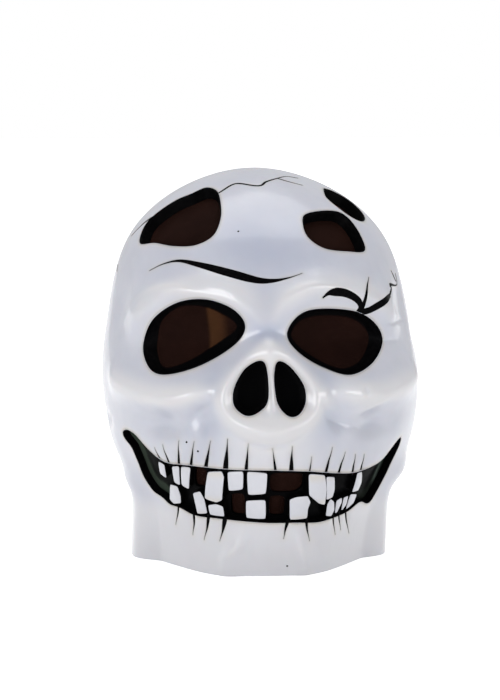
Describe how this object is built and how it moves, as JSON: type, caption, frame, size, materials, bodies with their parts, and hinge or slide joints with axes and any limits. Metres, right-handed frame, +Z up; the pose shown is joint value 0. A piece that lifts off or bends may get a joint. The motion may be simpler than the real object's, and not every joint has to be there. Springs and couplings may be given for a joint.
{
  "type": "skull mask",
  "caption": "Overhead latex skull mask with see-through mesh behind its openings, foam fitting pads inside and a strapped slit at the back of the neck.",
  "frame": {"origin": "middle of the neck rim's plane, under the middle of the mask's box", "axes": "+Z up from the neck rim to the crown, the face looks along -Y, +X is the wearer's left, to the right of a person facing the mask"},
  "size_m": [0.2049, 0.2301, 0.252],
  "materials": {
    "skull_latex": "glossy off-white latex with painted black cracks",
    "inner_latex": "matt natural latex",
    "brown_mesh": "open woven mesh",
    "pad_foam": "brushed fabric over foam",
    "strap_webbing": "woven webbing",
    "hook_tape": "hook tape",
    "loop_tape": "loop tape",
    "rivet_steel": "satin"
  },
  "bodies": {
    "mask": {"latex_skin": "skull_latex", "slit_backing_flap": "inner_latex", "slit_stop_patch": "inner_latex", "lower_strap_anchor": "strap_webbing", "lower_loop_pad": "loop_tape", "lower_strap_rivets": "rivet_steel", "upper_strap_anchor": "strap_webbing", "upper_loop_pad": "loop_tape", "upper_strap_rivets": "rivet_steel", "left_eye_mesh": "brown_mesh", "right_eye_mesh": "brown_mesh", "nose_mesh": "brown_mesh", "mouth_mesh": "brown_mesh", "left_crown_mesh": "brown_mesh", "right_crown_mesh": "brown_mesh", "upper_right_crown_mesh": "brown_mesh", "forehead_pad": "pad_foam", "crown_pad": "pad_foam", "left_temple_pad": "pad_foam", "right_temple_pad": "pad_foam"},
    "lower_tab": {"lower_strap_tab": "strap_webbing", "lower_hook_pad": "hook_tape"},
    "upper_tab": {"upper_strap_tab": "strap_webbing", "upper_hook_pad": "hook_tape"}
  },
  "joints": [
    {"name": "lower_tab_hinge", "type": "hinge", "parent": "mask", "child": "lower_tab", "pos_m": [-0.00888, 0.08178, 0.02491], "axis": [-0.0054, 0.237, 0.9715], "range_deg": [0, 150]},
    {"name": "upper_tab_hinge", "type": "hinge", "parent": "mask", "child": "upper_tab", "pos_m": [-0.00888, 0.09968, 0.07184], "axis": [-0.0335, 0.4032, 0.9145], "range_deg": [0, 150]}
  ]
}
